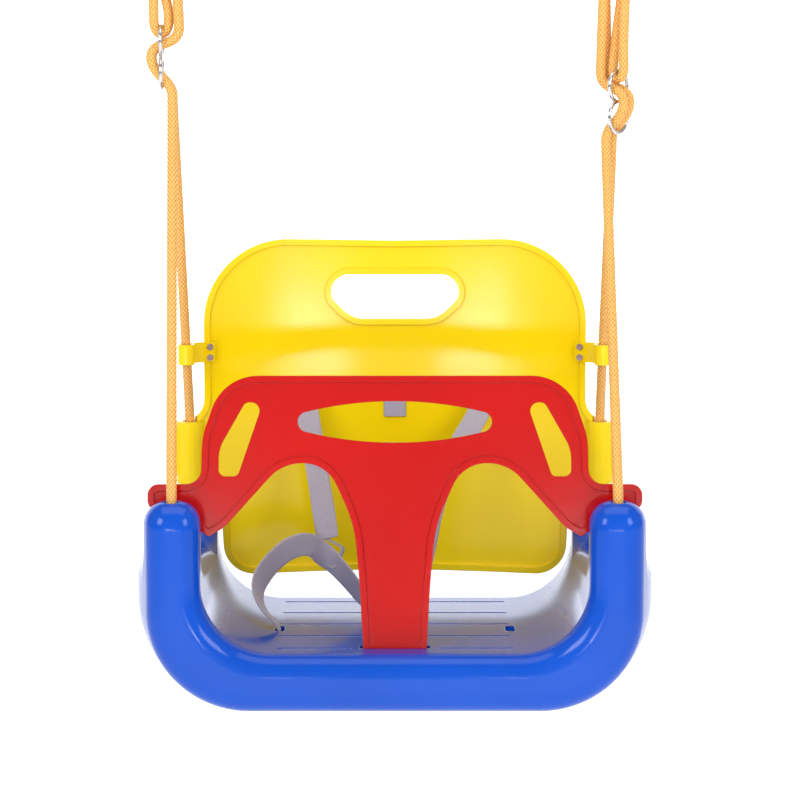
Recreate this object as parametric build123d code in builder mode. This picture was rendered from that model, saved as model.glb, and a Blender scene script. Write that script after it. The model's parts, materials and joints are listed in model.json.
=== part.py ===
"""Hanging toddler swing: a moulded seat, a moulded back and a lift-out T guard on two adjustable ropes.

Frame: +X to the viewer's right, +Y towards the back of the seat, +Z up. The origin is under the middle
of the seat, at its base. All sizes are in millimetres.
"""
import math
import os

from build123d import *

os.makedirs("parts", exist_ok=True)

# Seat: a hollow moulded tub with a rope post at each corner
FRONT_POST_Y = -122.0
REAR_POST_Y = 118.0
RIM_HALF = 22.0
FRONT_FACE_Y = FRONT_POST_Y - RIM_HALF
REAR_FACE_Y = REAR_POST_Y + RIM_HALF
MID_Y = (FRONT_FACE_Y + REAR_FACE_Y) / 2
END_HALF_WIDTH = 199.0
MID_HALF_WIDTH = 218.0
INNER_HALF_WIDTH = 158.5
FRONT_POST_TOP = 173.0
REAR_POST_TOP = 152.0
FRONT_DIP_Z = 120.0
REAR_DIP_Z = 102.0
FLOOR_TOP = 48.0
OUTER_CORNER = 82.0
INNER_CORNER = 57.0
POST_ROUND = 21.0
DIP_ROUND = 24.0
EDGE_ROUND = 18.0
WALL = 4.0
BASE_HALF_WIDTH = 130.0
BASE_MARGIN = 30.0
RIB_X = (-72.0, 72.0)
RIB_THICK = 3.0
RIB_FOOT = 10.0

# Drain slits and belt slots in the seat's floor
SLIT_LENGTH = 196.0
SLIT_WIDTH = 3.4
SLIT_YS = (-54.0, -2.0, 50.0, 102.0)
FRONT_SLIT_Y = -106.0
FRONT_SLIT_INNER = 36.0
BELT_SLOT = 24.0
BELT_SLOT_GAP = 8.0
LAP_SLOT_X = 98.0
LAP_SLOT_Y = -23.0

# Back: a shallow curve in plan, with a bead round its outline and a wing at each side
BACK_MID_Y = 139.5
BACK_CURVE = 798.0
BACK_SKIN = 2.25
BACK_BEAD = 4.5
BEAD_WIDTH = 5.5
BACK_TOP = 372.0
BACK_TOP_DIP = 3.0
BACK_HALF_WIDTH = 170.0
BACK_CORNER = 74.0
WING_HALF_WIDTH = 197.0
WING_TOP = 209.0
WING_BOTTOM = 158.0
BACK_FOOT = 69.0
BACK_FOOT_RISE = 3.0
BACK_FOOT_CORNER = 28.0
BACK_LOW_HALF_WIDTH = 157.0
BACK_LOW_TAPER = 4.5
HANDLE_HALF_LENGTH = 57.0
HANDLE_HALF_HEIGHT = 20.0
HANDLE_Z = 319.0
SHOULDER_SLOT_X = 81.0
SHOULDER_SLOT_Z = 235.0
SLEEVE_RADIUS = 12.5

# Guard: a flat T with a bead, leaning back a little, its foot in a socket behind the front rim
GUARD_LEAN = 4.5
GUARD_FOOT_Y = -105.5
GUARD_SKIN = 2.6
GUARD_BEAD = 4.2
GUARD_FOOT_Z = 17.5
SOCKET_CLEAR = 1.4
SOCKET_WALL = 3.0

# Ropes and what they pass through
ROPE_X = 182.0
ROPE_RADIUS = 4.15
STRAND_GAP = 4.6
BORE_RADIUS = 6.5
BOSS_RADIUS = 10.0
BOSS_FOOT = 66.0
WASHER_THICK = 2.0
KNOT_RADIUS = 9.0
KNOT_HEIGHT = 17.0
MOUTH_LEAN = 1.2
HANG_Y = 20.0
RING_Z = 642.0
RING_RADIUS = 22.0
RING_WIRE = 4.0
ADJUSTER_LOOP = 13.2
ADJUSTER_WIRE = 1.65
LEFT_HANG = {"side": -1, "adjuster": (-197.7, HANG_Y, 532.0), "ring_x": -195.0, "turn": 0.0}
RIGHT_HANG = {"side": 1, "adjuster": (189.6, HANG_Y, 494.3), "ring_x": 186.2, "turn": 38.0}

# Rope tabs on the edges of the back
TAB_Z = 271.0
TAB_HEIGHT = 18.0
TAB_THICK = 2.4
TAB_LOOP_WIDTH = 9.6
TAB_LOOP_LENGTH = 17.0
RIVET_X = 166.0
RIVET_PITCH = 9.4
RIVET_RADIUS = 1.6
RIVET_HEAD = 2.9

# Belt
WEBBING_RADIUS = 3.1
ANCHOR_RADIUS = 2.2
ANCHOR_LENGTH = 34.0


def write_part(name, part):
    """Label one finished piece and write it as its own file."""
    part.label = name
    export_step(part, f"parts/{name}.step")


# ---------------------------------------------------------------- seat

def tub_rim_edges(form, inset):
    """The edges round the tub's rims: where its ends and its side tops meet the inner and outer skins."""
    chosen = ShapeList()
    for face in form.faces():
        centre = face.center()
        at_front = abs(centre.Y - FRONT_FACE_Y - inset) < 1
        at_rear = abs(centre.Y - REAR_FACE_Y + inset) < 1
        on_profile = at_front or at_rear or centre.Z > REAR_DIP_Z - 2
        if not on_profile or abs(face.normal_at(centre).X) > 0.02:
            continue
        for edge in face.edges():
            across = edge.geom_type == GeomType.LINE and abs(edge.tangent_at(0.5).X) > 0.999
            if across and edge.center().Z > FLOOR_TOP + 1:
                continue
            if not any(edge.is_same(other) for other in chosen):
                chosen.append(edge)
    return chosen


def tub_form(inset):
    """The tub as a solid with rounded rims, drawn in from the outer skin by the inset."""
    front = FRONT_FACE_Y + inset
    rear = REAR_FACE_Y - inset
    end = END_HALF_WIDTH - inset
    middle = MID_HALF_WIDTH - inset
    inner = INNER_HALF_WIDTH + inset
    high = FRONT_POST_TOP + 60
    front_back = FRONT_POST_Y + RIM_HALF - inset
    rear_front = REAR_POST_Y - RIM_HALF + inset
    convex = POST_ROUND - inset
    concave = DIP_ROUND + inset
    with BuildPart() as form:
        with BuildSketch(Plane.XY.offset(inset)):
            with BuildLine():
                Line((-end, front), (end, front))
                ThreePointArc((end, front), (middle, MID_Y), (end, rear))
                Line((end, rear), (-end, rear))
                ThreePointArc((-end, rear), (-middle, MID_Y), (-end, front))
            make_face()
        extrude(amount=high)
        fillet(form.edges().filter_by(GeomType.CIRCLE).group_by(Axis.Z)[0], OUTER_CORNER - inset)
        with BuildSketch(Plane.XZ):
            with BuildLine():
                FilletPolyline((-inner, high + 20), (-inner, FLOOR_TOP - inset), (inner, FLOOR_TOP - inset),
                               (inner, high + 20), radius=INNER_CORNER + inset)
                Line((inner, high + 20), (-inner, high + 20))
            make_face()
        extrude(amount=REAR_FACE_Y * 2, both=True, mode=Mode.SUBTRACT)
        with BuildSketch(Plane.YZ):
            with BuildLine():
                FilletPolyline((front, -WALL), (front, FRONT_POST_TOP - inset),
                               (front_back, FRONT_POST_TOP - inset), (front_back, FRONT_DIP_Z - inset),
                               (rear_front, REAR_DIP_Z - inset), (rear_front, REAR_POST_TOP - inset),
                               (rear, REAR_POST_TOP - inset), (rear, -WALL),
                               radius=[convex, convex, concave, concave, convex, convex])
                Line((rear, -WALL), (front, -WALL))
            make_face()
        extrude(amount=MID_HALF_WIDTH * 2, both=True, mode=Mode.INTERSECT)
        fillet(tub_rim_edges(form, inset), EDGE_ROUND - inset)
    return form.part


GUARD_PLANE = Plane(
    origin=(0, GUARD_FOOT_Y, 0),
    x_dir=(1, 0, 0),
    z_dir=(0, -math.cos(math.radians(GUARD_LEAN)), math.sin(math.radians(GUARD_LEAN))),
)
TONGUE_HALF_WIDTH = 26.0
SOCKET_HALF_WIDTH = TONGUE_HALF_WIDTH + 3.0
SOCKET_HALF_DEPTH = GUARD_BEAD + SOCKET_CLEAR
POSTS = [(side * ROPE_X, y, top)
         for side in (-1, 1)
         for y, top in ((FRONT_POST_Y, FRONT_POST_TOP), (REAR_POST_Y, REAR_POST_TOP))]

OUTER_TUB = tub_form(0)

with BuildPart() as seat:
    add(OUTER_TUB)
    add(tub_form(WALL), mode=Mode.SUBTRACT)
    # The base is open between the rims
    with BuildSketch(Plane.XY.offset(-1)):
        with Locations((0, MID_Y)):
            RectangleRounded(2 * BASE_HALF_WIDTH, REAR_FACE_Y - FRONT_FACE_Y - 2 * BASE_MARGIN, 20)
    extrude(amount=WALL + 2, mode=Mode.SUBTRACT)
    # Ribs under the floor
    rib_length = REAR_FACE_Y - FRONT_FACE_Y - 2 * EDGE_ROUND
    with Locations([(x, MID_Y, (RIB_FOOT + FLOOR_TOP - 2) / 2) for x in RIB_X]):
        Box(RIB_THICK, rib_length, FLOOR_TOP - 2 - RIB_FOOT)
    # A boss inside each post carries the rope's pull down to its washer and knot
    for post_x, post_y, post_top in POSTS:
        boss_top = post_top - WALL / 2
        with Locations((post_x, post_y, (BOSS_FOOT + boss_top) / 2)):
            Cylinder(BOSS_RADIUS, boss_top - BOSS_FOOT)
        with Locations((post_x, post_y, (BOSS_FOOT + post_top + 2) / 2)):
            Cylinder(BORE_RADIUS, post_top + 2 - BOSS_FOOT, mode=Mode.SUBTRACT)
        with Locations((post_x, post_y, post_top - 1)):
            Cone(BORE_RADIUS, BORE_RADIUS + 2, 2.5, mode=Mode.SUBTRACT)
    # The guard's socket
    with BuildSketch(GUARD_PLANE):
        with Locations((0, (GUARD_FOOT_Z - SOCKET_WALL + FLOOR_TOP - 2) / 2)):
            Rectangle(2 * (SOCKET_HALF_WIDTH + SOCKET_WALL), FLOOR_TOP - 2 - GUARD_FOOT_Z + SOCKET_WALL)
    extrude(amount=SOCKET_HALF_DEPTH + SOCKET_WALL, both=True)
    with BuildSketch(GUARD_PLANE):
        with Locations((0, GUARD_FOOT_Z - 0.2 + 30)):
            Rectangle(2 * SOCKET_HALF_WIDTH, 60)
    extrude(amount=SOCKET_HALF_DEPTH, both=True, mode=Mode.SUBTRACT)
    # Drain slits: full ones, and a front one split round the socket
    front_slit = SLIT_LENGTH / 2 - FRONT_SLIT_INNER
    with BuildSketch(Plane.XY.offset(FLOOR_TOP - WALL - 1)):
        with Locations([(0, y) for y in SLIT_YS]):
            SlotOverall(SLIT_LENGTH, SLIT_WIDTH)
        with Locations([(side * (FRONT_SLIT_INNER + front_slit / 2), FRONT_SLIT_Y) for side in (-1, 1)]):
            SlotOverall(front_slit, SLIT_WIDTH)
        with Locations([(side * LAP_SLOT_X, LAP_SLOT_Y) for side in (-1, 1)]):
            SlotOverall(BELT_SLOT, BELT_SLOT_GAP, rotation=90)
    extrude(amount=WALL + 4, mode=Mode.SUBTRACT)
write_part("seat", seat.part)


# ---------------------------------------------------------------- back

def back_y(x):
    """Where the back's middle surface stands at a given distance from the middle."""
    return BACK_MID_Y - BACK_CURVE + math.sqrt(BACK_CURVE ** 2 - x ** 2)


def curved_strip(half_thick):
    """A tall strip that follows the back's plan curve."""
    with BuildPart() as strip:
        with BuildSketch(Plane.XY.offset(BACK_FOOT - 10)):
            with Locations((0, BACK_MID_Y - BACK_CURVE)):
                Circle(BACK_CURVE + half_thick)
                Circle(BACK_CURVE - half_thick, mode=Mode.SUBTRACT)
            with Locations((0, BACK_MID_Y - 20)):
                Rectangle(440, 100, mode=Mode.INTERSECT)
        extrude(amount=BACK_TOP - BACK_FOOT + 20)
    return strip.part


def back_outline():
    """The back seen from the front, as a flat face: its top edge dips a little and its foot rises a little."""
    foot_half = BACK_LOW_HALF_WIDTH - BACK_LOW_TAPER
    with BuildSketch() as outline:
        with BuildLine():
            FilletPolyline((0, BACK_TOP - BACK_TOP_DIP), (BACK_HALF_WIDTH, BACK_TOP),
                           (BACK_HALF_WIDTH, WING_TOP), (WING_HALF_WIDTH, WING_TOP),
                           (WING_HALF_WIDTH, WING_BOTTOM), (BACK_LOW_HALF_WIDTH, WING_BOTTOM),
                           (foot_half, BACK_FOOT), (0, BACK_FOOT + BACK_FOOT_RISE), (-foot_half, BACK_FOOT),
                           (-BACK_LOW_HALF_WIDTH, WING_BOTTOM), (-WING_HALF_WIDTH, WING_BOTTOM),
                           (-WING_HALF_WIDTH, WING_TOP), (-BACK_HALF_WIDTH, WING_TOP),
                           (-BACK_HALF_WIDTH, BACK_TOP),
                           radius=[600, BACK_CORNER, 20, 11, 11, 8, BACK_FOOT_CORNER, 600, BACK_FOOT_CORNER,
                                   8, 11, 11, 20, BACK_CORNER], close=True)
        make_face()
    return outline.sketch


def handle_outline():
    """The hand slot in the back: a flat top with tight corners and a rounder underside."""
    with BuildSketch() as slot:
        with BuildLine():
            FilletPolyline((-HANDLE_HALF_LENGTH, HANDLE_HALF_HEIGHT), (HANDLE_HALF_LENGTH, HANDLE_HALF_HEIGHT),
                           (HANDLE_HALF_LENGTH, -2), (38, -HANDLE_HALF_HEIGHT),
                           (-38, -HANDLE_HALF_HEIGHT), (-HANDLE_HALF_LENGTH, -2),
                           radius=[16, 16, 12, 26, 26, 12], close=True)
        make_face()
    return slot.sketch


SHOULDER_SLOTS = [(side * SHOULDER_SLOT_X, SHOULDER_SLOT_Z) for side in (-1, 1)]
RIVET_ZS = (TAB_Z - RIVET_PITCH / 2, TAB_Z + RIVET_PITCH / 2)
RIVET_SLOPE = math.degrees(math.asin(RIVET_X / BACK_CURVE))


def rivet_axis(side, z):
    """The plane that a rivet is turned in, square to the back's surface at its edge."""
    lean = math.radians(RIVET_SLOPE)
    return Plane(origin=(side * RIVET_X, back_y(RIVET_X), z), x_dir=(0, 0, 1),
                 z_dir=(-side * math.sin(lean), -math.cos(lean), 0))


with BuildPart() as back_skin:
    add(curved_strip(BACK_SKIN))
    with BuildSketch(Plane.XZ):
        add(back_outline())
        with Locations((0, HANDLE_Z)):
            add(handle_outline(), mode=Mode.SUBTRACT)
    extrude(amount=300, both=True, mode=Mode.INTERSECT)

with BuildPart() as back_bead:
    add(curved_strip(BACK_BEAD))
    with BuildSketch(Plane.XZ):
        add(back_outline())
        offset(amount=-BEAD_WIDTH, mode=Mode.SUBTRACT)
    extrude(amount=300, both=True, mode=Mode.INTERSECT)

with BuildPart() as handle_bead:
    add(curved_strip(BACK_BEAD))
    with BuildSketch(Plane.XZ):
        with Locations((0, HANDLE_Z)):
            add(offset(handle_outline(), amount=BEAD_WIDTH, mode=Mode.PRIVATE))
            add(handle_outline(), mode=Mode.SUBTRACT)
    extrude(amount=300, both=True, mode=Mode.INTERSECT)

with BuildPart() as backrest:
    add(back_skin)
    add(back_bead)
    add(handle_bead)
    # Rope sleeves at the wing ends
    for side in (-1, 1):
        with Locations((side * (ROPE_X + 1), REAR_POST_Y, (WING_TOP + WING_BOTTOM) / 2 - 2)):
            Cylinder(SLEEVE_RADIUS, WING_TOP - WING_BOTTOM + 4)
    for side in (-1, 1):
        with Locations((side * (ROPE_X + 1), REAR_POST_Y, (WING_TOP + WING_BOTTOM) / 2)):
            Cylinder(BORE_RADIUS + 0.5, WING_TOP - WING_BOTTOM + 20, mode=Mode.SUBTRACT)
    # Slots that the shoulder straps come out of
    with BuildSketch(Plane.XZ):
        with Locations(SHOULDER_SLOTS):
            SlotOverall(BELT_SLOT, BELT_SLOT_GAP)
    extrude(amount=-300, mode=Mode.SUBTRACT)
    for side in (-1, 1):
        for z in RIVET_ZS:
            with BuildSketch(rivet_axis(side, z)):
                Circle(RIVET_RADIUS)
            extrude(amount=20, both=True, mode=Mode.SUBTRACT)
write_part("backrest", backrest.part)


# ---------------------------------------------------------------- guard

def guard_outline():
    """The guard seen square on, as a flat face: a bar with end tabs, two leg arches and a stem."""
    top = 272.4
    with BuildSketch() as outline:
        with BuildLine():
            FilletPolyline((0, top), (-141, top), (-158.5, 222), (-159.5, 183.2), (-203.5, 183.2),
                           (-203.5, 162.8), (-176, 157), (-153.6, 139.8), (-140, 148), (-92.6, 200.5),
                           (-56, 200.5), (-33.5, 150), (-29, 100), (-TONGUE_HALF_WIDTH, FLOOR_TOP - 4),
                           (-TONGUE_HALF_WIDTH, GUARD_FOOT_Z), (0, GUARD_FOOT_Z),
                           radius=[40, 60, 13, 9, 9, 10, 3, 20, 36, 30, 110, 200, 20, 3])
            Line((0, GUARD_FOOT_Z), (0, top))
        make_face()
        mirror(about=Plane.YZ)
    return outline.sketch


def guard_slots():
    """The lens slot and the two side slots, as flat faces."""
    tip_x = 101.0
    tip_z = 234.4
    with BuildSketch() as slots:
        with BuildLine():
            ThreePointArc((-tip_x, tip_z), (0, 251.5), (tip_x, tip_z))
            ThreePointArc((tip_x, tip_z), (0, 217.3), (-tip_x, tip_z))
        make_face()
        fillet(slots.vertices(), 8.4)
        with BuildLine():
            FilletPolyline((108.5, 250.5), (129.5, 189.5), (145.2, 189.5), (145, 212), (123, 250.5),
                           radius=[7, 5, 5.5, 30, 6], close=True)
        make_face()
        mirror(slots.faces().sort_by(Axis.X)[-1], about=Plane.YZ)
    return slots.sketch


GUARD_OUTLINE = guard_outline()

with BuildPart() as guard_plate:
    with BuildSketch(GUARD_PLANE):
        add(GUARD_OUTLINE)
        add(guard_slots(), mode=Mode.SUBTRACT)
    extrude(amount=GUARD_SKIN, both=True)

with BuildPart() as guard_bead:
    with BuildSketch(GUARD_PLANE):
        add(GUARD_OUTLINE)
        offset(amount=-BEAD_WIDTH, mode=Mode.SUBTRACT)
    extrude(amount=GUARD_BEAD, both=True)

with BuildPart() as guard:
    add(guard_plate)
    add(guard_bead)
write_part("guard", guard.part)


# ---------------------------------------------------------------- ropes

def turn_at(before, corner, after):
    """How far a route turns at a corner, in degrees."""
    return (corner - before).get_angle(after - corner)


def route_radii(points, tight=()):
    """One arc radius for each corner: as large as its runs allow, or the size of the edge it goes round."""
    radii = []
    for index in range(1, len(points) - 1):
        before, corner, after = points[index - 1:index + 2]
        shorter = min((corner - before).length, (after - corner).length)
        allowed = 0.45 * shorter / math.tan(math.radians(turn_at(before, corner, after)) / 2)
        radii.append(min(allowed, dict(tight).get(index, allowed)))
    return radii


def cord_tube(name, points, radius, tight=()):
    """A plain tube along straight runs joined by tangent arcs; its length and radii are printed."""
    points = [Vector(*point) for point in points]
    radii = route_radii(points, tight)
    with BuildPart() as tube:
        with BuildLine() as route:
            FilletPolyline(*points, radius=radii)
        path = route.wires()[0]
        with BuildSketch(Plane(origin=path @ 0, z_dir=path % 0)):
            Circle(radius)
        sweep(path=path)
    length = path.length
    ratio = tube.part.volume / (length * math.pi * radius ** 2)
    print(f"{name}: {length:.0f} mm long, volume over section x length {ratio:.3f},",
          "radii", [round(value, 1) for value in radii])
    return tube.part


def rope_points(hang):
    """One side's rope: front post, through the adjuster, over the ring and back in a bight, rear post."""
    side = hang["side"]
    adj_x, adj_y, adj_z = hang["adjuster"]
    turn = math.radians(hang["turn"])
    out = (side * math.cos(turn), -math.sin(turn))
    along = (side * out[1] * -1, side * out[0])

    def near(outward, rearward, height):
        """A point beside the adjuster: outward from its plane, along it towards the back, and up."""
        x = adj_x + outward * out[0] + rearward * along[0]
        y = adj_y + outward * out[1] + rearward * along[1]
        return (x, y, adj_z + height)

    def over_ring(outward, rearward, height):
        """A point at the ring's lowest wire: outward and along it, and above the wire's middle."""
        return (hang["ring_x"] + side * outward, HANG_Y + rearward, RING_Z - RING_RADIUS + height)

    weave = [(-9.0, -40.0), (-9.0, -25.0), (8.6, -9.0), (8.6, 8.0), (-15.0, 15.0), (-15.0, 34.0)]
    over = ROPE_RADIUS + RING_WIRE + 0.5
    above = over + 1.6
    clear = over + 0.4
    front = [(side * ROPE_X, FRONT_POST_Y, BOSS_FOOT - WASHER_THICK),
             (side * ROPE_X, FRONT_POST_Y + MOUTH_LEAN / 2, FRONT_POST_TOP - 33),
             (side * ROPE_X, FRONT_POST_Y + MOUTH_LEAN, FRONT_POST_TOP)]
    front += [near(outward, -STRAND_GAP, height) for outward, height in weave]
    front += [over_ring(-over, -STRAND_GAP, above), over_ring(over, -STRAND_GAP, above),
              over_ring(clear, -STRAND_GAP, -12)]
    bight = [near(6.2, -2.5, 44.0), near(6.2, 0, 20.0), near(-6.2, 0, 20.0), near(-6.2, 3.0, 44.0)]
    rear = [over_ring(clear, STRAND_GAP, -12), over_ring(over, STRAND_GAP, above),
            over_ring(-over, STRAND_GAP, above)]
    rear += [near(outward, STRAND_GAP, height) for outward, height in reversed(weave)]
    rear += [(side * (ROPE_X + 1), REAR_POST_Y, WING_TOP + 1),
             (side * ROPE_X, REAR_POST_Y, WING_BOTTOM - 20),
             (side * ROPE_X, REAR_POST_Y, BOSS_FOOT - WASHER_THICK)]
    return front + bight + rear


POST_BEND = 30.0
FRONT_MOUTH = 2
for side_name, hang in (("left", LEFT_HANG), ("right", RIGHT_HANG)):
    points = rope_points(hang)
    tight = {FRONT_MOUTH: POST_BEND, len(points) - 3: POST_BEND}
    write_part(f"{side_name}_rope", cord_tube(f"{side_name}_rope", points, ROPE_RADIUS, tight))

with BuildPart() as rope_washers:
    with Locations([(x, y, BOSS_FOOT - WASHER_THICK / 2) for x, y, top in POSTS]):
        Cylinder(KNOT_RADIUS - 0.5, WASHER_THICK)
        Cylinder(ROPE_RADIUS, WASHER_THICK, mode=Mode.SUBTRACT)
write_part("rope_washers", rope_washers.part)

with BuildPart() as rope_knots:
    with Locations([(x, y, BOSS_FOOT - WASHER_THICK - KNOT_HEIGHT / 2) for x, y, top in POSTS]):
        Cylinder(KNOT_RADIUS, KNOT_HEIGHT)
    fillet(rope_knots.edges().filter_by(GeomType.CIRCLE), KNOT_RADIUS - 2.5)
write_part("rope_knots", rope_knots.part)

for side_name, hang in (("left", LEFT_HANG), ("right", RIGHT_HANG)):
    adj_x, adj_y, adj_z = hang["adjuster"]
    turn = math.radians(hang["turn"])
    face = (hang["side"] * math.cos(turn), -math.sin(turn), 0)
    with BuildPart() as adjuster:
        for height in (-ADJUSTER_LOOP, ADJUSTER_LOOP):
            with Locations(Plane(origin=(adj_x, adj_y, adj_z + height), z_dir=face)):
                Torus(ADJUSTER_LOOP, ADJUSTER_WIRE)
    write_part(f"{side_name}_adjuster", adjuster.part)
    with BuildPart() as hanging_ring:
        with Locations(Plane(origin=(hang["ring_x"], HANG_Y, RING_Z), z_dir=(1, 0, 0))):
            Torus(RING_RADIUS, RING_WIRE)
    write_part(f"{side_name}_hanging_ring", hanging_ring.part)


# ---------------------------------------------------------------- rope tabs

def rear_strand_at(hang, z):
    """Where the straight rear strand stands at a given height."""
    points = rope_points(hang)
    upper = Vector(*points[-4])
    lower = Vector(*points[-3])
    share = (z - lower.Z) / (upper.Z - lower.Z)
    return lower + (upper - lower) * share


for side_name, hang in (("left", LEFT_HANG), ("right", RIGHT_HANG)):
    side = hang["side"]
    strand = rear_strand_at(hang, TAB_Z)
    stand_off = BACK_BEAD + TAB_THICK / 2 + 0.15
    inner_x = RIVET_X - 6
    outer_x = RIVET_X + 5.5
    with BuildPart() as rope_tab:
        with BuildSketch(Plane.XY.offset(TAB_Z - TAB_HEIGHT / 2)):
            with BuildLine():
                Polyline((strand.X, strand.Y + TAB_LOOP_LENGTH / 2 + 0.6),
                         (side * outer_x, back_y(outer_x) - stand_off),
                         (side * inner_x, back_y(inner_x) - stand_off))
            trace(line_width=TAB_THICK)
            with Locations((strand.X, strand.Y)):
                SlotOverall(TAB_LOOP_LENGTH + 2 * TAB_THICK, TAB_LOOP_WIDTH + 2 * TAB_THICK, rotation=90)
                SlotOverall(TAB_LOOP_LENGTH, TAB_LOOP_WIDTH, rotation=90, mode=Mode.SUBTRACT)
        extrude(amount=TAB_HEIGHT)
        for z in RIVET_ZS:
            with BuildSketch(rivet_axis(side, z)):
                Circle(RIVET_RADIUS)
            extrude(amount=20, both=True, mode=Mode.SUBTRACT)
    write_part(f"{side_name}_rope_tab", rope_tab.part)

with BuildPart() as tab_rivets:
    shank_front = BACK_BEAD + TAB_THICK + 0.5
    for side in (-1, 1):
        for z in RIVET_ZS:
            axis_plane = rivet_axis(side, z)
            for foot, length, radius in ((-BACK_BEAD - 1.2, BACK_BEAD + 1.2 + shank_front, RIVET_RADIUS),
                                         (-BACK_BEAD - 1.3, 1.2, RIVET_HEAD),
                                         (shank_front - 0.1, 1.2, RIVET_HEAD)):
                with BuildSketch(axis_plane.offset(foot)):
                    Circle(radius)
                extrude(amount=length)
write_part("tab_rivets", tab_rivets.part)


# ---------------------------------------------------------------- belt

ANCHOR_BACK_Y = back_y(SHOULDER_SLOT_X - ANCHOR_LENGTH / 2) + BACK_SKIN + ANCHOR_RADIUS + 0.2
ANCHOR_SEAT_Z = FLOOR_TOP - WALL - ANCHOR_RADIUS - 0.3
STRAP_START_Y = ANCHOR_BACK_Y - ANCHOR_RADIUS
STRAP_START_Z = ANCHOR_SEAT_Z + ANCHOR_RADIUS + 0.4
SLIDER = (-58.0, 59.0, 100.0)
BUCKLE_Y = 12.0
BUCKLE_Z = 64.0
SOCKET_X = (-4.0, 23.0)
TONGUE_END_X = -13.0
SOCKET_THICK = 10.0
SOCKET_TALL = 24.0
BUTTON_RADIUS = 4.0
BUTTON_TRAVEL = 1.2

LEFT_SHOULDER = [(-81, STRAP_START_Y, 235), (-81, 124, 234), (-78, 110, 218), (-70, 92, 175), (-63, 72, 136),
                 (-59, 61, 112)]
LEFT_LAP = [(-62, 57, 98), (-74, 46, 111), (-92, 32, 109), (-109, 16, 96), (-120, 0, 79), (-113, -16, 62),
            (-99, LAP_SLOT_Y, 53), (-LAP_SLOT_X, LAP_SLOT_Y, STRAP_START_Z)]
TONGUE_STRAP = [(-53, 55, 91), (-42, 43, 81), (-31, 28, 70), (-22, 16, 65), (TONGUE_END_X - 1.6, 12, 64)]
RIGHT_SHOULDER = [(81, STRAP_START_Y, 235), (81, 124, 234), (76, 108, 219), (54, 86, 186), (34, 62, 146),
                  (26, 40, 108), (21, 20, 92), (18, 13, 77.6)]

for strap_name, points in (("left_shoulder_strap", LEFT_SHOULDER), ("left_lap_strap", LEFT_LAP),
                           ("tongue_strap", TONGUE_STRAP), ("right_shoulder_strap", RIGHT_SHOULDER)):
    write_part(strap_name, cord_tube(strap_name, points, WEBBING_RADIUS))

with BuildPart() as strap_anchors:
    with Locations([(side * SHOULDER_SLOT_X, ANCHOR_BACK_Y, SHOULDER_SLOT_Z) for side in (-1, 1)]):
        Cylinder(ANCHOR_RADIUS, ANCHOR_LENGTH, rotation=(0, 90, 0))
    with Locations((-LAP_SLOT_X, LAP_SLOT_Y, ANCHOR_SEAT_Z)):
        Cylinder(ANCHOR_RADIUS, ANCHOR_LENGTH, rotation=(90, 0, 0))
write_part("strap_anchors", strap_anchors.part)

with BuildPart() as back_strap_end:
    with Locations((0, back_y(0) - BACK_SKIN - 1.1, 226)):
        Box(13, 1.6, 30)
write_part("back_strap_end", back_strap_end.part)

with BuildPart() as strap_slider:
    with BuildSketch(Plane(origin=SLIDER, x_dir=(0.8, -0.5, -0.35), z_dir=(-0.45, -0.85, 0.2))):
        RectangleRounded(26, 22, 4)
        with Locations((0, 5.6), (0, -5.6)):
            RectangleRounded(20, 6.6, 1.5, mode=Mode.SUBTRACT)
    extrude(amount=1.4, both=True)
write_part("strap_slider", strap_slider.part)

with BuildPart() as buckle_socket:
    socket_middle = sum(SOCKET_X) / 2
    socket_long = SOCKET_X[1] - SOCKET_X[0]
    with Locations((socket_middle, BUCKLE_Y, BUCKLE_Z)):
        Box(socket_long, SOCKET_THICK, SOCKET_TALL)
    fillet(buckle_socket.edges().filter_by(Axis.X), 2)
    with Locations((socket_middle - 5, BUCKLE_Y, BUCKLE_Z)):
        Box(socket_long, SOCKET_THICK - 4, SOCKET_TALL - 5, mode=Mode.SUBTRACT)
    with Locations((socket_middle - 3, BUCKLE_Y - SOCKET_THICK / 2, BUCKLE_Z)):
        Cylinder(BUTTON_RADIUS + 0.35, 6, rotation=(90, 0, 0), mode=Mode.SUBTRACT)
write_part("buckle_socket", buckle_socket.part)

with BuildPart() as buckle_tongue:
    with Locations(((TONGUE_END_X + SOCKET_X[0] - 0.3) / 2, BUCKLE_Y, BUCKLE_Z)):
        Box(SOCKET_X[0] - 0.3 - TONGUE_END_X, SOCKET_THICK - 2, SOCKET_TALL - 2)
    fillet(buckle_tongue.edges().filter_by(Axis.X), 2)
    with Locations((SOCKET_X[0] + 7, BUCKLE_Y + 0.4, BUCKLE_Z)):
        Box(16, 2.8, SOCKET_TALL - 10)
write_part("buckle_tongue", buckle_tongue.part)

with BuildPart() as release_button:
    button_front = BUCKLE_Y - SOCKET_THICK / 2 - BUTTON_TRAVEL - 0.4
    with Locations((sum(SOCKET_X) / 2 - 3, button_front + 1.8, BUCKLE_Z)):
        Cylinder(BUTTON_RADIUS, 3.6, rotation=(90, 0, 0))
write_part("release_button", release_button.part)
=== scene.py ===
"""Looks of the hanging toddler swing: camera, light, materials, braided ropes and webbing belt."""
import json
import math

import bpy
import numpy as np
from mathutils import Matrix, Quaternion, Vector


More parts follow.
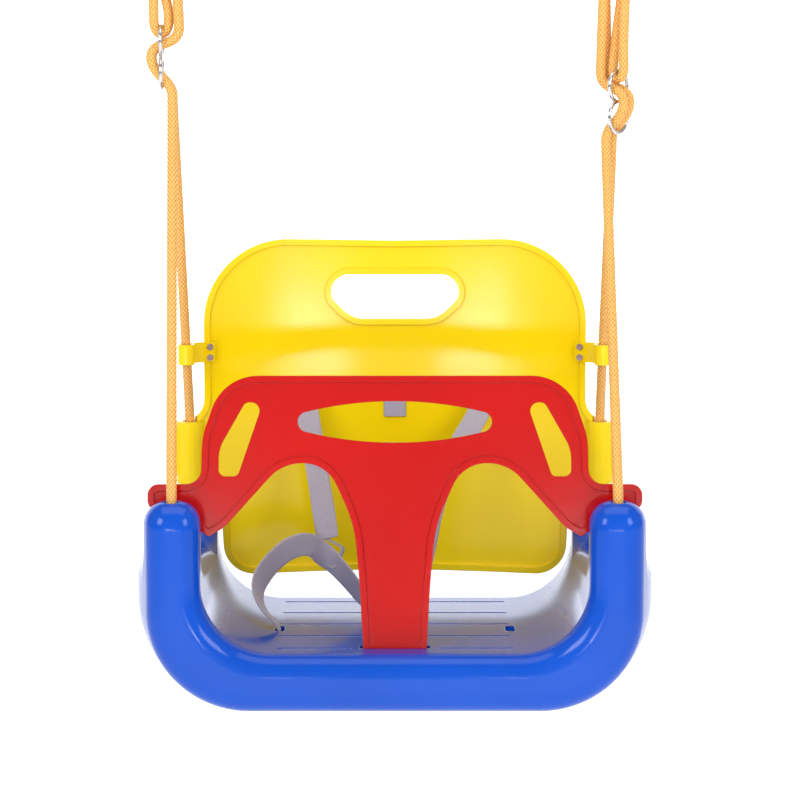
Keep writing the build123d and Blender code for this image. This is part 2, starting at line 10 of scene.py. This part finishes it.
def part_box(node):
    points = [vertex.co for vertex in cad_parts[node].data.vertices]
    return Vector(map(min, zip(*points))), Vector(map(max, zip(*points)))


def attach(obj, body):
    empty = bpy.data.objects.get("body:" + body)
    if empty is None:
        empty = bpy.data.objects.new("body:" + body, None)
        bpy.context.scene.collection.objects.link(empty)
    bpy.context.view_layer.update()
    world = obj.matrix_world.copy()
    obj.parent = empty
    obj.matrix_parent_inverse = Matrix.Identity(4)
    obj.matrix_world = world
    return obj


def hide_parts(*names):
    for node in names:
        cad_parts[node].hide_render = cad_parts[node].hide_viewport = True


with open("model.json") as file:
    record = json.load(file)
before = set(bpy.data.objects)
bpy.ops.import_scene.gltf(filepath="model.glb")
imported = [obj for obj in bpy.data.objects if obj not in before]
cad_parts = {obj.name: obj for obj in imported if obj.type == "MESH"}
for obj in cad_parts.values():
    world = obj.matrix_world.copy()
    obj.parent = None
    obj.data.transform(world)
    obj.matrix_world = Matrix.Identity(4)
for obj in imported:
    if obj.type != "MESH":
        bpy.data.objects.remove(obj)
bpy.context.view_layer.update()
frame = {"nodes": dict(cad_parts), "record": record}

MM = 0.001


# ---------------------------------------------------------------- camera, light and stage

CAMERA_PLACE = (0.0, -2.487, 0.532)
CAMERA_LENS_MM = 132.2
CAMERA_SENSOR_MM = 36.0
CAMERA_TILT_DOWN = 6.66
CAMERA_TURN = -0.1
CAMERA_REACH = 50


def add_camera():
    """A long lens a little above the swing, looking slightly down on it; its angles are in degrees."""
    data = bpy.data.cameras.new("camera")
    data.lens = CAMERA_LENS_MM
    data.sensor_width = CAMERA_SENSOR_MM
    data.clip_end = CAMERA_REACH
    camera = bpy.data.objects.new("camera", data)
    camera.location = CAMERA_PLACE
    camera.rotation_euler = (math.radians(90 - CAMERA_TILT_DOWN), 0, math.radians(CAMERA_TURN))
    bpy.context.scene.collection.objects.link(camera)
    bpy.context.scene.camera = camera


def add_softbox(name, place, target, size, power, roll=0, mirrored=True):
    """An area light that faces its target, rolled about that line by some degrees.

    Where it isn't mirrored, it lights the object but shows in no reflection.
    """
    data = bpy.data.lights.new(name, "AREA")
    data.shape = "RECTANGLE"
    data.size, data.size_y = size
    data.energy = power
    lamp = bpy.data.objects.new(name, data)
    lamp.location = place
    aim = (Vector(target) - Vector(place)).to_track_quat("-Z", "Y")
    lamp.rotation_euler = (aim @ Quaternion((0, 0, 1), math.radians(roll))).to_euler()
    lamp.visible_glossy = mirrored
    bpy.context.scene.collection.objects.link(lamp)


STAGE_ROUGHNESS = 0.9
FLOOR_Z = -0.45
FLOOR_COLOUR = (0.86, 0.86, 0.87)
FLOOR_GLOW = 0.42
WALL_Y = 6.0
WALL_TOP = 6.0
WALL_COLOUR = (0.9, 0.9, 0.9)
WALL_GLOW = 1.0
STAGE_HALF = 9.0
LIGHT_TARGET = (0, 0, 0.2)
WINDOW_TARGET = (0, 0.1, 0.3)
WINDOW_SIZE = (0.30, 0.13)
WINDOW_POWER = 2.0
WINDOW_ROLL = 14
SKY_COLOUR = (0.95, 0.97, 1.0, 1)
SKY_STRENGTH = 0.4


def stage_plane(name, corners, colour, glow):
    """One flat piece of the studio: matte, with a little light of its own."""
    mesh = bpy.data.meshes.new(name)
    mesh.from_pydata(corners, [], [(0, 1, 2, 3)])
    plane = bpy.data.objects.new(name, mesh)
    bpy.context.scene.collection.objects.link(plane)
    material = bpy.data.materials.new(name)
    material.use_nodes = True
    shader = material.node_tree.nodes["Principled BSDF"]
    shader.inputs["Base Color"].default_value = (*colour, 1)
    shader.inputs["Roughness"].default_value = STAGE_ROUGHNESS
    shader.inputs["Emission Color"].default_value = (1, 1, 1, 1)
    shader.inputs["Emission Strength"].default_value = glow
    mesh.materials.append(material)


def add_studio():
    """A white floor below the swing, a white wall behind it, soft light from the front and above."""
    near_left = (-STAGE_HALF, -STAGE_HALF, FLOOR_Z)
    near_right = (STAGE_HALF, -STAGE_HALF, FLOOR_Z)
    far_left = (-STAGE_HALF, WALL_Y, FLOOR_Z)
    far_right = (STAGE_HALF, WALL_Y, FLOOR_Z)
    top_left = (-STAGE_HALF, WALL_Y, WALL_TOP)
    top_right = (STAGE_HALF, WALL_Y, WALL_TOP)
    stage_plane("floor", [near_left, near_right, far_right, far_left], FLOOR_COLOUR, FLOOR_GLOW)
    stage_plane("backdrop", [far_left, far_right, top_right, top_left], WALL_COLOUR, WALL_GLOW)
    add_softbox("key_left", (-1.7, -1.9, 1.5), LIGHT_TARGET, (1.0, 1.2), 24)
    add_softbox("key_right", (1.7, -1.9, 1.4), LIGHT_TARGET, (1.0, 1.2), 20)
    add_softbox("top", (0, -0.2, 2.4), LIGHT_TARGET, (2.2, 1.6), 16)
    add_softbox("fill", (0, -3.2, 0.6), LIGHT_TARGET, (2.6, 1.8), 22, mirrored=False)
    # Two small softboxes, which the hollow of the back mirrors as a pair of soft bright patches
    for name, side in (("window_left", -1), ("window_right", 1)):
        add_softbox(name, (side * 0.37, -2.65, 0.02), WINDOW_TARGET, WINDOW_SIZE, WINDOW_POWER,
                    roll=side * WINDOW_ROLL)
    world = bpy.data.worlds.new("world")
    bpy.context.scene.world = world
    world.use_nodes = True
    world.node_tree.nodes["Background"].inputs["Color"].default_value = SKY_COLOUR
    world.node_tree.nodes["Background"].inputs["Strength"].default_value = SKY_STRENGTH
    bpy.context.scene.view_settings.view_transform = "Standard"


# ---------------------------------------------------------------- materials

class Nodes:
    """A material with its Principled shader and short ways to add nodes to it."""

    def __init__(self, name, **settings):
        self.material = bpy.data.materials.new(name)
        self.material.use_nodes = True
        self.tree = self.material.node_tree
        self.shader = self.tree.nodes["Principled BSDF"]
        for socket, value in settings.items():
            self.shader.inputs[socket.replace("_", " ")].default_value = value

    def add(self, kind, **settings):
        node = self.tree.nodes.new(kind)
        for key, value in settings.items():
            if key in node.inputs:
                node.inputs[key].default_value = value
            else:
                setattr(node, key, value)
        return node

    def link(self, source, target):
        self.tree.links.new(source, target)

    def noise(self, scale, detail=3.0, roughness=0.5, vector=None):
        node = self.add("ShaderNodeTexNoise", Scale=scale, Detail=detail, Roughness=roughness)
        if vector is None:
            vector = self.add("ShaderNodeTexCoord").outputs["Object"]
        self.link(vector, node.inputs["Vector"])
        return node.outputs["Fac"]

    def remap(self, value, low, high, to_low, to_high):
        node = self.add("ShaderNodeMapRange")
        for index, bound in enumerate((low, high, to_low, to_high)):
            node.inputs[index + 1].default_value = bound
        self.link(value, node.inputs[0])
        return node.outputs[0]

    def ramp(self, value, stops):
        node = self.add("ShaderNodeValToRGB")
        elements = node.color_ramp.elements
        while len(elements) < len(stops):
            elements.new(0.5)
        for element, (place, colour) in zip(elements, stops):
            element.position = place
            element.color = (*colour, 1)
        self.link(value, node.inputs[0])
        return node.outputs[0]

    def bump(self, height, strength, distance, below=None):
        node = self.add("ShaderNodeBump", Strength=strength, Distance=distance)
        self.link(height, node.inputs["Height"])
        if below is not None:
            self.link(below, node.inputs["Normal"])
        return node.outputs["Normal"]

    def math(self, operation, first, second):
        node = self.add("ShaderNodeMath", operation=operation)
        for index, value in enumerate((first, second)):
            if isinstance(value, (int, float)):
                node.inputs[index].default_value = value
            else:
                self.link(value, node.inputs[index])
        return node.outputs[0]


def shade(colour, factor):
    """The same colour, lighter or darker."""
    return tuple(min(1.0, channel * factor) for channel in colour)


SOFT_EDGE_RADIUS = 0.0014


def moulded_plastic(name, colour, deep):
    """Glossy moulded plastic: slight flow marks in its colour, faint orange peel and waves, fine scuffs."""
    m = Nodes(name, IOR=1.4)
    flow = m.noise(9.0, 2.0)
    m.link(m.ramp(flow, [(0.3, deep), (0.7, colour)]), m.shader.inputs["Base Color"])
    scuff = m.noise(420.0, 6.0, 0.7)
    m.link(m.remap(scuff, 0.35, 0.75, 0.09, 0.2), m.shader.inputs["Roughness"])
    peel = m.noise(260.0, 2.0)
    waves = m.noise(38.0, 1.0)
    soft_edge = m.add("ShaderNodeBevel", samples=4, Radius=SOFT_EDGE_RADIUS).outputs["Normal"]
    normal = m.bump(waves, 0.08, 0.0006, soft_edge)
    m.link(m.bump(peel, 0.05, 0.0002, normal), m.shader.inputs["Normal"])
    return m.material


def bright_metal(name, colour, rough_low, rough_high):
    """Plated wire: bright, with faint draw marks and small dull spots."""
    m = Nodes(name, Metallic=1.0)
    stain = m.noise(160.0, 4.0)
    m.link(m.ramp(stain, [(0.3, shade(colour, 0.82)), (0.65, colour)]), m.shader.inputs["Base Color"])
    m.link(m.remap(m.noise(900.0, 4.0), 0.3, 0.7, rough_low, rough_high), m.shader.inputs["Roughness"])
    m.link(m.bump(m.noise(600.0, 3.0), 0.12, 0.0002), m.shader.inputs["Normal"])
    return m.material


def satin_plastic(name, colour):
    """Fine-grained satin plastic for the belt's buckle and slider."""
    m = Nodes(name, IOR=1.5)
    m.link(m.ramp(m.noise(60.0, 3.0), [(0.3, shade(colour, 0.85)), (0.7, colour)]),
           m.shader.inputs["Base Color"])
    m.link(m.remap(m.noise(700.0, 4.0), 0.3, 0.7, 0.36, 0.5), m.shader.inputs["Roughness"])
    m.link(m.bump(m.noise(1400.0, 2.0), 0.2, 0.0001), m.shader.inputs["Normal"])
    return m.material


# The two rope colours are painted light on the strands' crowns and painted shade in the grooves between them
ROPE_LIT_CROWN = (0.98, 0.56, 0.14)
ROPE_SHADED_GROOVE = (0.50, 0.15, 0.012)


def rope_fibre():
    """Braided polypropylene: painted light on each strand's crown, painted shade in the deep grooves, and
    fine fibres.
    """
    m = Nodes("rope_fibre", Sheen_Weight=0.25, Sheen_Roughness=0.4)
    crown = m.add("ShaderNodeAttribute", attribute_name="crown").outputs["Fac"]
    fibre = m.noise(1500.0, 3.0)
    # Crown height gives painted light on the crowns and painted shade in the grooves; the fibre noise is the
    # fibre's own colour variation
    mixed = m.math("ADD", m.math("MULTIPLY", crown, 0.85), m.math("MULTIPLY", fibre, 0.25))
    m.link(m.ramp(mixed, [(0.15, ROPE_SHADED_GROOVE), (0.85, ROPE_LIT_CROWN)]), m.shader.inputs["Base Color"])
    m.link(m.remap(fibre, 0.3, 0.7, 0.45, 0.62), m.shader.inputs["Roughness"])
    m.link(m.bump(fibre, 0.35, 0.0003), m.shader.inputs["Normal"])
    return m.material


WEB_LIGHT = (0.50, 0.47, 0.53)
WEB_DEEP = (0.27, 0.25, 0.29)
WEB_RIB_PITCH = 1.6
WEB_YARN_PITCH = 1.0


def webbing_weave():
    """Grey polyester webbing: ribs along its length crossed by a fine weft."""
    m = Nodes("webbing_weave", Sheen_Weight=0.2, Sheen_Roughness=0.5)
    coords = m.add("ShaderNodeSeparateXYZ")
    m.link(m.add("ShaderNodeUVMap", uv_map="weave").outputs["UV"], coords.inputs[0])
    ribs = m.math("SINE", m.math("MULTIPLY", coords.outputs["X"], 2 * math.pi / WEB_RIB_PITCH), 0)
    yarns = m.math("SINE", m.math("MULTIPLY", coords.outputs["Y"], 2 * math.pi / WEB_YARN_PITCH), 0)
    weave = m.math("ADD", m.math("MULTIPLY", m.math("MULTIPLY", ribs, yarns), 0.25), 0.5)
    fibre = m.noise(900.0, 4.0)
    mixed = m.math("ADD", m.math("MULTIPLY", weave, 0.6), m.math("MULTIPLY", fibre, 0.5))
    m.link(m.ramp(mixed, [(0.25, WEB_DEEP), (0.75, WEB_LIGHT)]), m.shader.inputs["Base Color"])
    m.link(m.remap(fibre, 0.3, 0.7, 0.55, 0.8), m.shader.inputs["Roughness"])
    m.link(m.bump(mixed, 0.5, 0.0004), m.shader.inputs["Normal"])
    return m.material


def paint_cad_nodes(materials):
    """Give each carried-over CAD node the material of its slot."""
    slots = {entry["node"]: entry["material_slot"] for entry in frame["record"]["subparts"]}
    for name, obj in frame["nodes"].items():
        obj.data.materials.clear()
        obj.data.materials.append(materials[slots[name]])


# ---------------------------------------------------------------- cords

def nurbs_route(name, points):
    """A smooth open curve with these control points, in metres."""
    curve = bpy.data.curves.new(name, "CURVE")
    curve.dimensions = "3D"
    curve.resolution_u = 12
    spline = curve.splines.new("NURBS")
    spline.points.add(len(points) - 1)
    for target, point in zip(spline.points, points):
        target.co = (*point, 1)
    spline.order_u = 3
    spline.use_endpoint_u = True
    return bpy.data.objects.new(name, curve)


def centreline(route, step):
    """Evenly spaced points along a route, as Blender itself draws it."""
    bpy.context.scene.collection.objects.link(route)
    bpy.context.view_layer.update()
    mesh = bpy.data.meshes.new_from_object(route.evaluated_get(bpy.context.evaluated_depsgraph_get()))
    drawn = np.array([v.co for v in mesh.vertices])
    bpy.data.meshes.remove(mesh)
    bpy.data.objects.remove(route)
    along = np.concatenate([[0], np.cumsum(np.linalg.norm(np.diff(drawn, axis=0), axis=1))])
    wanted = np.linspace(0, along[-1], int(round(along[-1] / step)) + 1)
    return np.stack([np.interp(wanted, along, drawn[:, axis]) for axis in range(3)], axis=1), along[-1]


def tangents_of(path):
    """The unit direction of a path at each of its points."""
    directions = np.gradient(path, axis=0)
    return directions / np.linalg.norm(directions, axis=1)[:, None]


FIRST_SIDE_FROM = (0.3, 0.9, 0.1)


def carried_frames(path):
    """A pair of cross directions at each point, carried along the path without twist.

    The first is square to the path's start and to FIRST_SIDE_FROM, which no route starts along.
    """
    tangents = tangents_of(path)
    side = np.cross(tangents[0], FIRST_SIDE_FROM)
    side /= np.linalg.norm(side)
    sides = []
    for tangent in tangents:
        side = side - tangent * side.dot(tangent)
        side /= np.linalg.norm(side)
        sides.append(side)
    sides = np.array(sides)
    return sides, np.cross(tangents, sides)


def mesh_object(name, vertices, faces, material):
    """A smooth-shaded mesh with one material."""
    mesh = bpy.data.meshes.new(name)
    mesh.from_pydata([tuple(v) for v in vertices], [], faces)
    mesh.polygons.foreach_set("use_smooth", [True] * len(mesh.polygons))
    mesh.materials.append(material)
    obj = bpy.data.objects.new(name, mesh)
    bpy.context.scene.collection.objects.link(obj)
    return obj


ROPE_DIAMETER = 8.3 * MM
BRAID_DEPTH = 0.55 * MM
BRAID_STRANDS = 8
BRAID_PITCH = 4.2 * MM
BRAID_ROUND = 48
BRAID_STEP = 0.62 * MM
BRAID_MEAN_CROWN = 0.65
BRAID_END_SHADE = 0.5


def braided_rope(name, points, material, diameter=ROPE_DIAMETER):
    """A braided rope along the route: pillow-shaped strand crowns in a diamond pattern, with closed ends.

    Each crown's height is kept on the mesh, where the rope's material reads it to paint light on the crowns
    and shade in the grooves.
    """
    path, length = centreline(nurbs_route(name + "_route", points), BRAID_STEP)
    sides, ups = carried_frames(path)
    turns = np.arange(BRAID_ROUND) / BRAID_ROUND
    run = np.linspace(0, length, len(path))[:, None] / BRAID_PITCH
    across = BRAID_STRANDS * turns[None, :]
    crown = np.abs(np.sin(math.pi * (across + run))) * np.abs(np.sin(math.pi * (across - run)))
    crown = np.sqrt(crown)
    radius = diameter / 2 + BRAID_DEPTH * (crown - BRAID_MEAN_CROWN)
    angle = 2 * math.pi * turns
    ring = (np.cos(angle)[None, :, None] * sides[:, None, :] + np.sin(angle)[None, :, None] * ups[:, None, :])
    vertices = (path[:, None, :] + radius[:, :, None] * ring).reshape(-1, 3)
    vertices = np.concatenate([vertices, path[:1], path[-1:]])
    faces = []
    for row in range(len(path) - 1):
        base = row * BRAID_ROUND
        above = base + BRAID_ROUND
        for column in range(BRAID_ROUND):
            after = (column + 1) % BRAID_ROUND
            faces.append((base + column, base + after, above + after, above + column))
    last = (len(path) - 1) * BRAID_ROUND
    for column in range(BRAID_ROUND):
        after = (column + 1) % BRAID_ROUND
        faces.append((len(vertices) - 2, after, column))
        faces.append((len(vertices) - 1, last + column, last + after))
    rope = mesh_object(name, vertices, faces, material)
    shades = np.concatenate([crown.reshape(-1), [BRAID_END_SHADE] * 2]).astype(np.float32)
    rope.data.attributes.new("crown", "FLOAT", "POINT").data.foreach_set("value", shades)
    return rope, path, length


# The ropes' routes are in millimetres. They repeat the CAD ropes' points, with more on the straight runs.
HANG_Y = 20.0
RING_Z = 642.0
RING_RADIUS = 22.0
RING_WIRE = 4.0
ROPE_RADIUS = 4.15
STRAND_GAP = 4.6
ROPE_X = 182.0
FRONT_POST_Y = -122.0
REAR_POST_Y = 118.0
KNOT_TOP = 64.0
FRONT_POST_TOP = 173.0
MOUTH_LEAN = 1.2
WING_TOP = 209.0
WING_BOTTOM = 158.0

# How far outward and how high the rope stands as it weaves up through an adjuster
ADJUSTER_WEAVE = [(-9.0, -40.0), (-9.0, -25.0), (8.6, -9.0), (8.6, 8.0), (-15.0, 15.0), (-15.0, 34.0)]
# The bight that comes back down from the ring to the adjuster: outward, rearward and height
BIGHT = [(6.2, -2.5, 44.0), (6.2, 0, 20.0), (-6.2, 0, 20.0), (-6.2, 3.0, 44.0)]
# Over the ring's lowest wire: how far out the rope is beside its crossing, how high, and how far out below it
RING_OUT = ROPE_RADIUS + RING_WIRE + 0.5
RING_OVER = RING_OUT + 1.6
RING_CLEAR = RING_OUT + 0.4
RING_BELOW = -12

# Each side's adjuster, the degrees that it is turned by, its ring, and points on the two long straight runs
HANGS = {
    "left": {"side": -1, "adjuster": (-197.7, HANG_Y, 532.0), "ring_x": -195.0, "turn": 0.0,
             "front_straight": [(-183.0, -101.0, 219.0), (-187.7, -4.0, 446.0)],
             "rear_straight": [(-187.7, 40.0, 445.0), (-184.0, 102.0, 258.0)]},
    "right": {"side": 1, "adjuster": (189.6, HANG_Y, 494.3), "ring_x": 186.2, "turn": 38.0,
              "front_straight": [(181.6, -98.0, 218.0), (180.1, -1.0, 410.0)],
              "rear_straight": [(184.9, 46.0, 408.0), (183.4, 101.0, 257.0)]},
}


def rope_points(hang):
    """One side's rope: front post, adjuster, over the ring, a bight, over the ring, adjuster, rear post."""
    side = hang["side"]
    adj_x, adj_y, adj_z = hang["adjuster"]
    turn = math.radians(hang["turn"])
    out = (side * math.cos(turn), -math.sin(turn))
    along = (-side * out[1], side * out[0])

    def near(outward, rearward, height):
        """A point by the adjuster: outward and rearward as it is turned, and above its middle."""
        x = adj_x + outward * out[0] + rearward * along[0]
        y = adj_y + outward * out[1] + rearward * along[1]
        return (x, y, adj_z + height)

    def over_ring(outward, rearward, height):
        """A point at the ring's lowest wire: outward, rearward, and above the wire's middle."""
        return (hang["ring_x"] + side * outward, HANG_Y + rearward, RING_Z - RING_RADIUS + height)

    points = [(side * ROPE_X, FRONT_POST_Y, KNOT_TOP),
              (side * ROPE_X, FRONT_POST_Y + MOUTH_LEAN / 2, FRONT_POST_TOP - 33),
              (side * ROPE_X, FRONT_POST_Y + MOUTH_LEAN, FRONT_POST_TOP)]
    points += hang["front_straight"]
    points += [near(outward, -STRAND_GAP, height) for outward, height in ADJUSTER_WEAVE]
    points += [over_ring(-RING_OUT, -STRAND_GAP, RING_OVER), over_ring(RING_OUT, -STRAND_GAP, RING_OVER),
               over_ring(RING_CLEAR, -STRAND_GAP, RING_BELOW)]
    points += [near(*place) for place in BIGHT]
    points += [over_ring(RING_CLEAR, STRAND_GAP, RING_BELOW), over_ring(RING_OUT, STRAND_GAP, RING_OVER),
               over_ring(-RING_OUT, STRAND_GAP, RING_OVER)]
    points += [near(outward, STRAND_GAP, height) for outward, height in reversed(ADJUSTER_WEAVE)]
    points += hang["rear_straight"]
    points += [(side * (ROPE_X + 1), REAR_POST_Y, WING_TOP + 1),
               (side * ROPE_X, REAR_POST_Y, WING_BOTTOM - 20),
               (side * ROPE_X, REAR_POST_Y, KNOT_TOP)]
    return [tuple(value * MM for value in point) for point in points]


KNOT_TURNS = 2
KNOT_TURN_POINTS = 8
KNOT_COIL = 4.7
KNOT_ROPE = 7.6 * MM
KNOT_LOW = 51.5
KNOT_RISE = 4.2
KNOTS = [("left", "front", -ROPE_X, FRONT_POST_Y), ("right", "front", ROPE_X, FRONT_POST_Y),
         ("left", "rear", -ROPE_X, REAR_POST_Y), ("right", "rear", ROPE_X, REAR_POST_Y)]


def add_knots(material):
    """A stopper knot under each post's washer: the rope's end wound up in two tight turns."""
    knots = {"left": [], "right": []}
    for side, end, x, y in KNOTS:
        points = []
        for step in range(KNOT_TURN_POINTS * KNOT_TURNS + 1):
            turn = step / KNOT_TURN_POINTS
            angle = 2 * math.pi * turn
            points.append(((x + KNOT_COIL * math.cos(angle)) * MM, (y + KNOT_COIL * math.sin(angle)) * MM,
                           (KNOT_LOW + KNOT_RISE * turn) * MM))
        knot = braided_rope(f"{end}_{side}_knot", points, material, KNOT_ROPE)[0]
        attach(knot, "swing")
        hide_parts("rope_knots")
        knots[side].append(knot)
    return knots


def add_ropes(material, knots):
    """The two suspension ropes, each one piece from its front knot to its rear knot."""
    for name, hang in HANGS.items():
        points = rope_points(hang)
        rope, path, length = braided_rope(name + "_braided_rope", points, material)
        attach(rope, "swing")
        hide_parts(name + "_rope")


WEB_WIDTH = 20 * MM
WEB_THICK = 1.5 * MM
WEB_STEP = 0.8 * MM
WEB_ACROSS = 20
WEB_FULL_HALF = 0.5
WEB_SELVEDGE_HALF = 0.08
WEB_SELVEDGE_POWER = 8

# Each strap's route in millimetres, and the way its width lies at even steps along it
BELT = {
    "left_shoulder_webbing": {
        "stands_for": ["left_shoulder_strap"],
        "points": [(-81, 138, 235), (-81, 124, 234), (-78, 110, 218), (-70, 92, 175), (-63, 72, 136),
                   (-59, 61, 112)],
        "across": [(1, 0, 0), (0.98, 0.1, 0), (0.95, 0.2, -0.1), (0.82, -0.45, -0.3)]},
    "lap_webbing": {
        "stands_for": ["left_lap_strap", "tongue_strap"],
        "points": [(-98, -23, 44), (-99, -23, 53), (-113, -16, 62), (-120, 0, 79), (-109, 16, 96),
                   (-92, 32, 109), (-74, 46, 111), (-62, 57, 98), (-53, 55, 91), (-42, 43, 81),
                   (-31, 28, 70), (-22, 16, 65), (-14.6, 12, 64)],
        "across": [(0, 1, 0), (0.35, 0.85, -0.4), (0.6, 0.55, -0.6), (0.35, 0.2, -0.9), (0.05, -0.1, -1),
                   (-0.3, 0.2, -0.9), (-0.2, 0.3, -0.9), (0, 0, -1)]},
    "right_shoulder_webbing": {
        "stands_for": ["right_shoulder_strap"],
        "points": [(81, 138, 235), (81, 124, 234), (76, 108, 219), (54, 86, 186), (34, 62, 146),
                   (26, 40, 108), (21, 20, 92), (18, 13, 77.6)],
        "across": [(1, 0, 0), (0.95, 0.1, 0), (0.85, 0.2, -0.5), (0.95, 0.1, -0.3), (1, 0, 0)]},
}


def across_at(directions, tangents):
    """The strap's width direction at each point, turned from one given direction to the next.

    It is square to the strap's own direction there.
    """
    given = np.array(directions, dtype=float)
    where = np.linspace(0, len(given) - 1, len(tangents))
    across = np.stack([np.interp(where, range(len(given)), given[:, axis]) for axis in range(3)], axis=1)
    across -= tangents * np.sum(across * tangents, axis=1)[:, None]
    return across / np.linalg.norm(across, axis=1)[:, None]


def webbing(name, points, directions, material):
    """A woven strap along the route: a flat band that thins to its selvedges, with cut ends."""
    path, length = centreline(nurbs_route(name + "_route", [tuple(v * MM for v in p) for p in points]),
                              WEB_STEP)
    tangents = tangents_of(path)
    across = across_at(directions, tangents)
    through = np.cross(tangents, across)
    share = np.linspace(-1, 1, WEB_ACROSS)
    edge = np.sqrt(np.clip(1 - np.abs(share) ** WEB_SELVEDGE_POWER, 0, 1)) * WEB_FULL_HALF + WEB_SELVEDGE_HALF
    wide = np.concatenate([share, share[::-1]]) * WEB_WIDTH / 2
    deep = np.concatenate([edge, -edge[::-1]]) * WEB_THICK
    count = len(wide)
    vertices = (path[:, None, :] + wide[None, :, None] * across[:, None, :]
                + deep[None, :, None] * through[:, None, :]).reshape(-1, 3)
    faces = []
    for row in range(len(path) - 1):
        base = row * count
        above = base + count
        for column in range(count):
            after = (column + 1) % count
            faces.append((base + column, base + after, above + after, above + column))
    last = (len(path) - 1) * count
    faces.append(tuple(range(count - 1, -1, -1)))
    faces.append(tuple(range(last, last + count)))
    strap = mesh_object(name, vertices, faces, material)
    weave = strap.data.uv_layers.new(name="weave")
    rows = np.linspace(0, length, len(path)) / MM
    corners = np.zeros(len(strap.data.loops), dtype=np.int32)
    strap.data.loops.foreach_get("vertex_index", corners)
    places = np.stack([wide[corners % count] / MM, rows[corners // count]], axis=1)
    weave.data.foreach_set("uv", places.astype(np.float32).reshape(-1))
    return strap, path, length


def add_belt(material):
    """The belt's three straps and the short end on the back, each of 20 mm webbing."""
    for name, strap in BELT.items():
        piece, path, length = webbing(name, strap["points"], strap["across"], material)
        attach(piece, "swing")
        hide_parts(*strap["stands_for"])
    tab_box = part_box("back_strap_end")
    middle = [(low + high) / 2 for low, high in zip(*tab_box)]
    low_z, high_z = tab_box[0][2], tab_box[1][2]
    points = [(0, middle[1] / MM, z / MM) for z in (high_z, middle[2], low_z)]
    tab, path, length = webbing("back_webbing_end", points, [(1, 0, 0), (1, 0, 0)], material)
    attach(tab, "swing")
    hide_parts("back_strap_end")


# ---------------------------------------------------------------- run

MATERIALS = {
    "blue_plastic": moulded_plastic("blue_plastic", (0.002, 0.078, 0.54), (0.001, 0.066, 0.47)),
    "yellow_plastic": moulded_plastic("yellow_plastic", (1.0, 0.74, 0.003), (0.99, 0.70, 0.002)),
    "red_plastic": moulded_plastic("red_plastic", (0.56, 0.004, 0.002), (0.50, 0.003, 0.002)),
    "grey_plastic": satin_plastic("grey_plastic", (0.42, 0.41, 0.43)),
    "orange_rope": rope_fibre(),
    "grey_webbing": webbing_weave(),
    "chrome": bright_metal("chrome", (0.78, 0.78, 0.8), 0.08, 0.2),
    "steel": bright_metal("steel", (0.6, 0.6, 0.62), 0.22, 0.38),
}

add_camera()
add_studio()
add_ropes(MATERIALS["orange_rope"], add_knots(MATERIALS["orange_rope"]))
add_belt(MATERIALS["grey_webbing"])
paint_cad_nodes(MATERIALS)
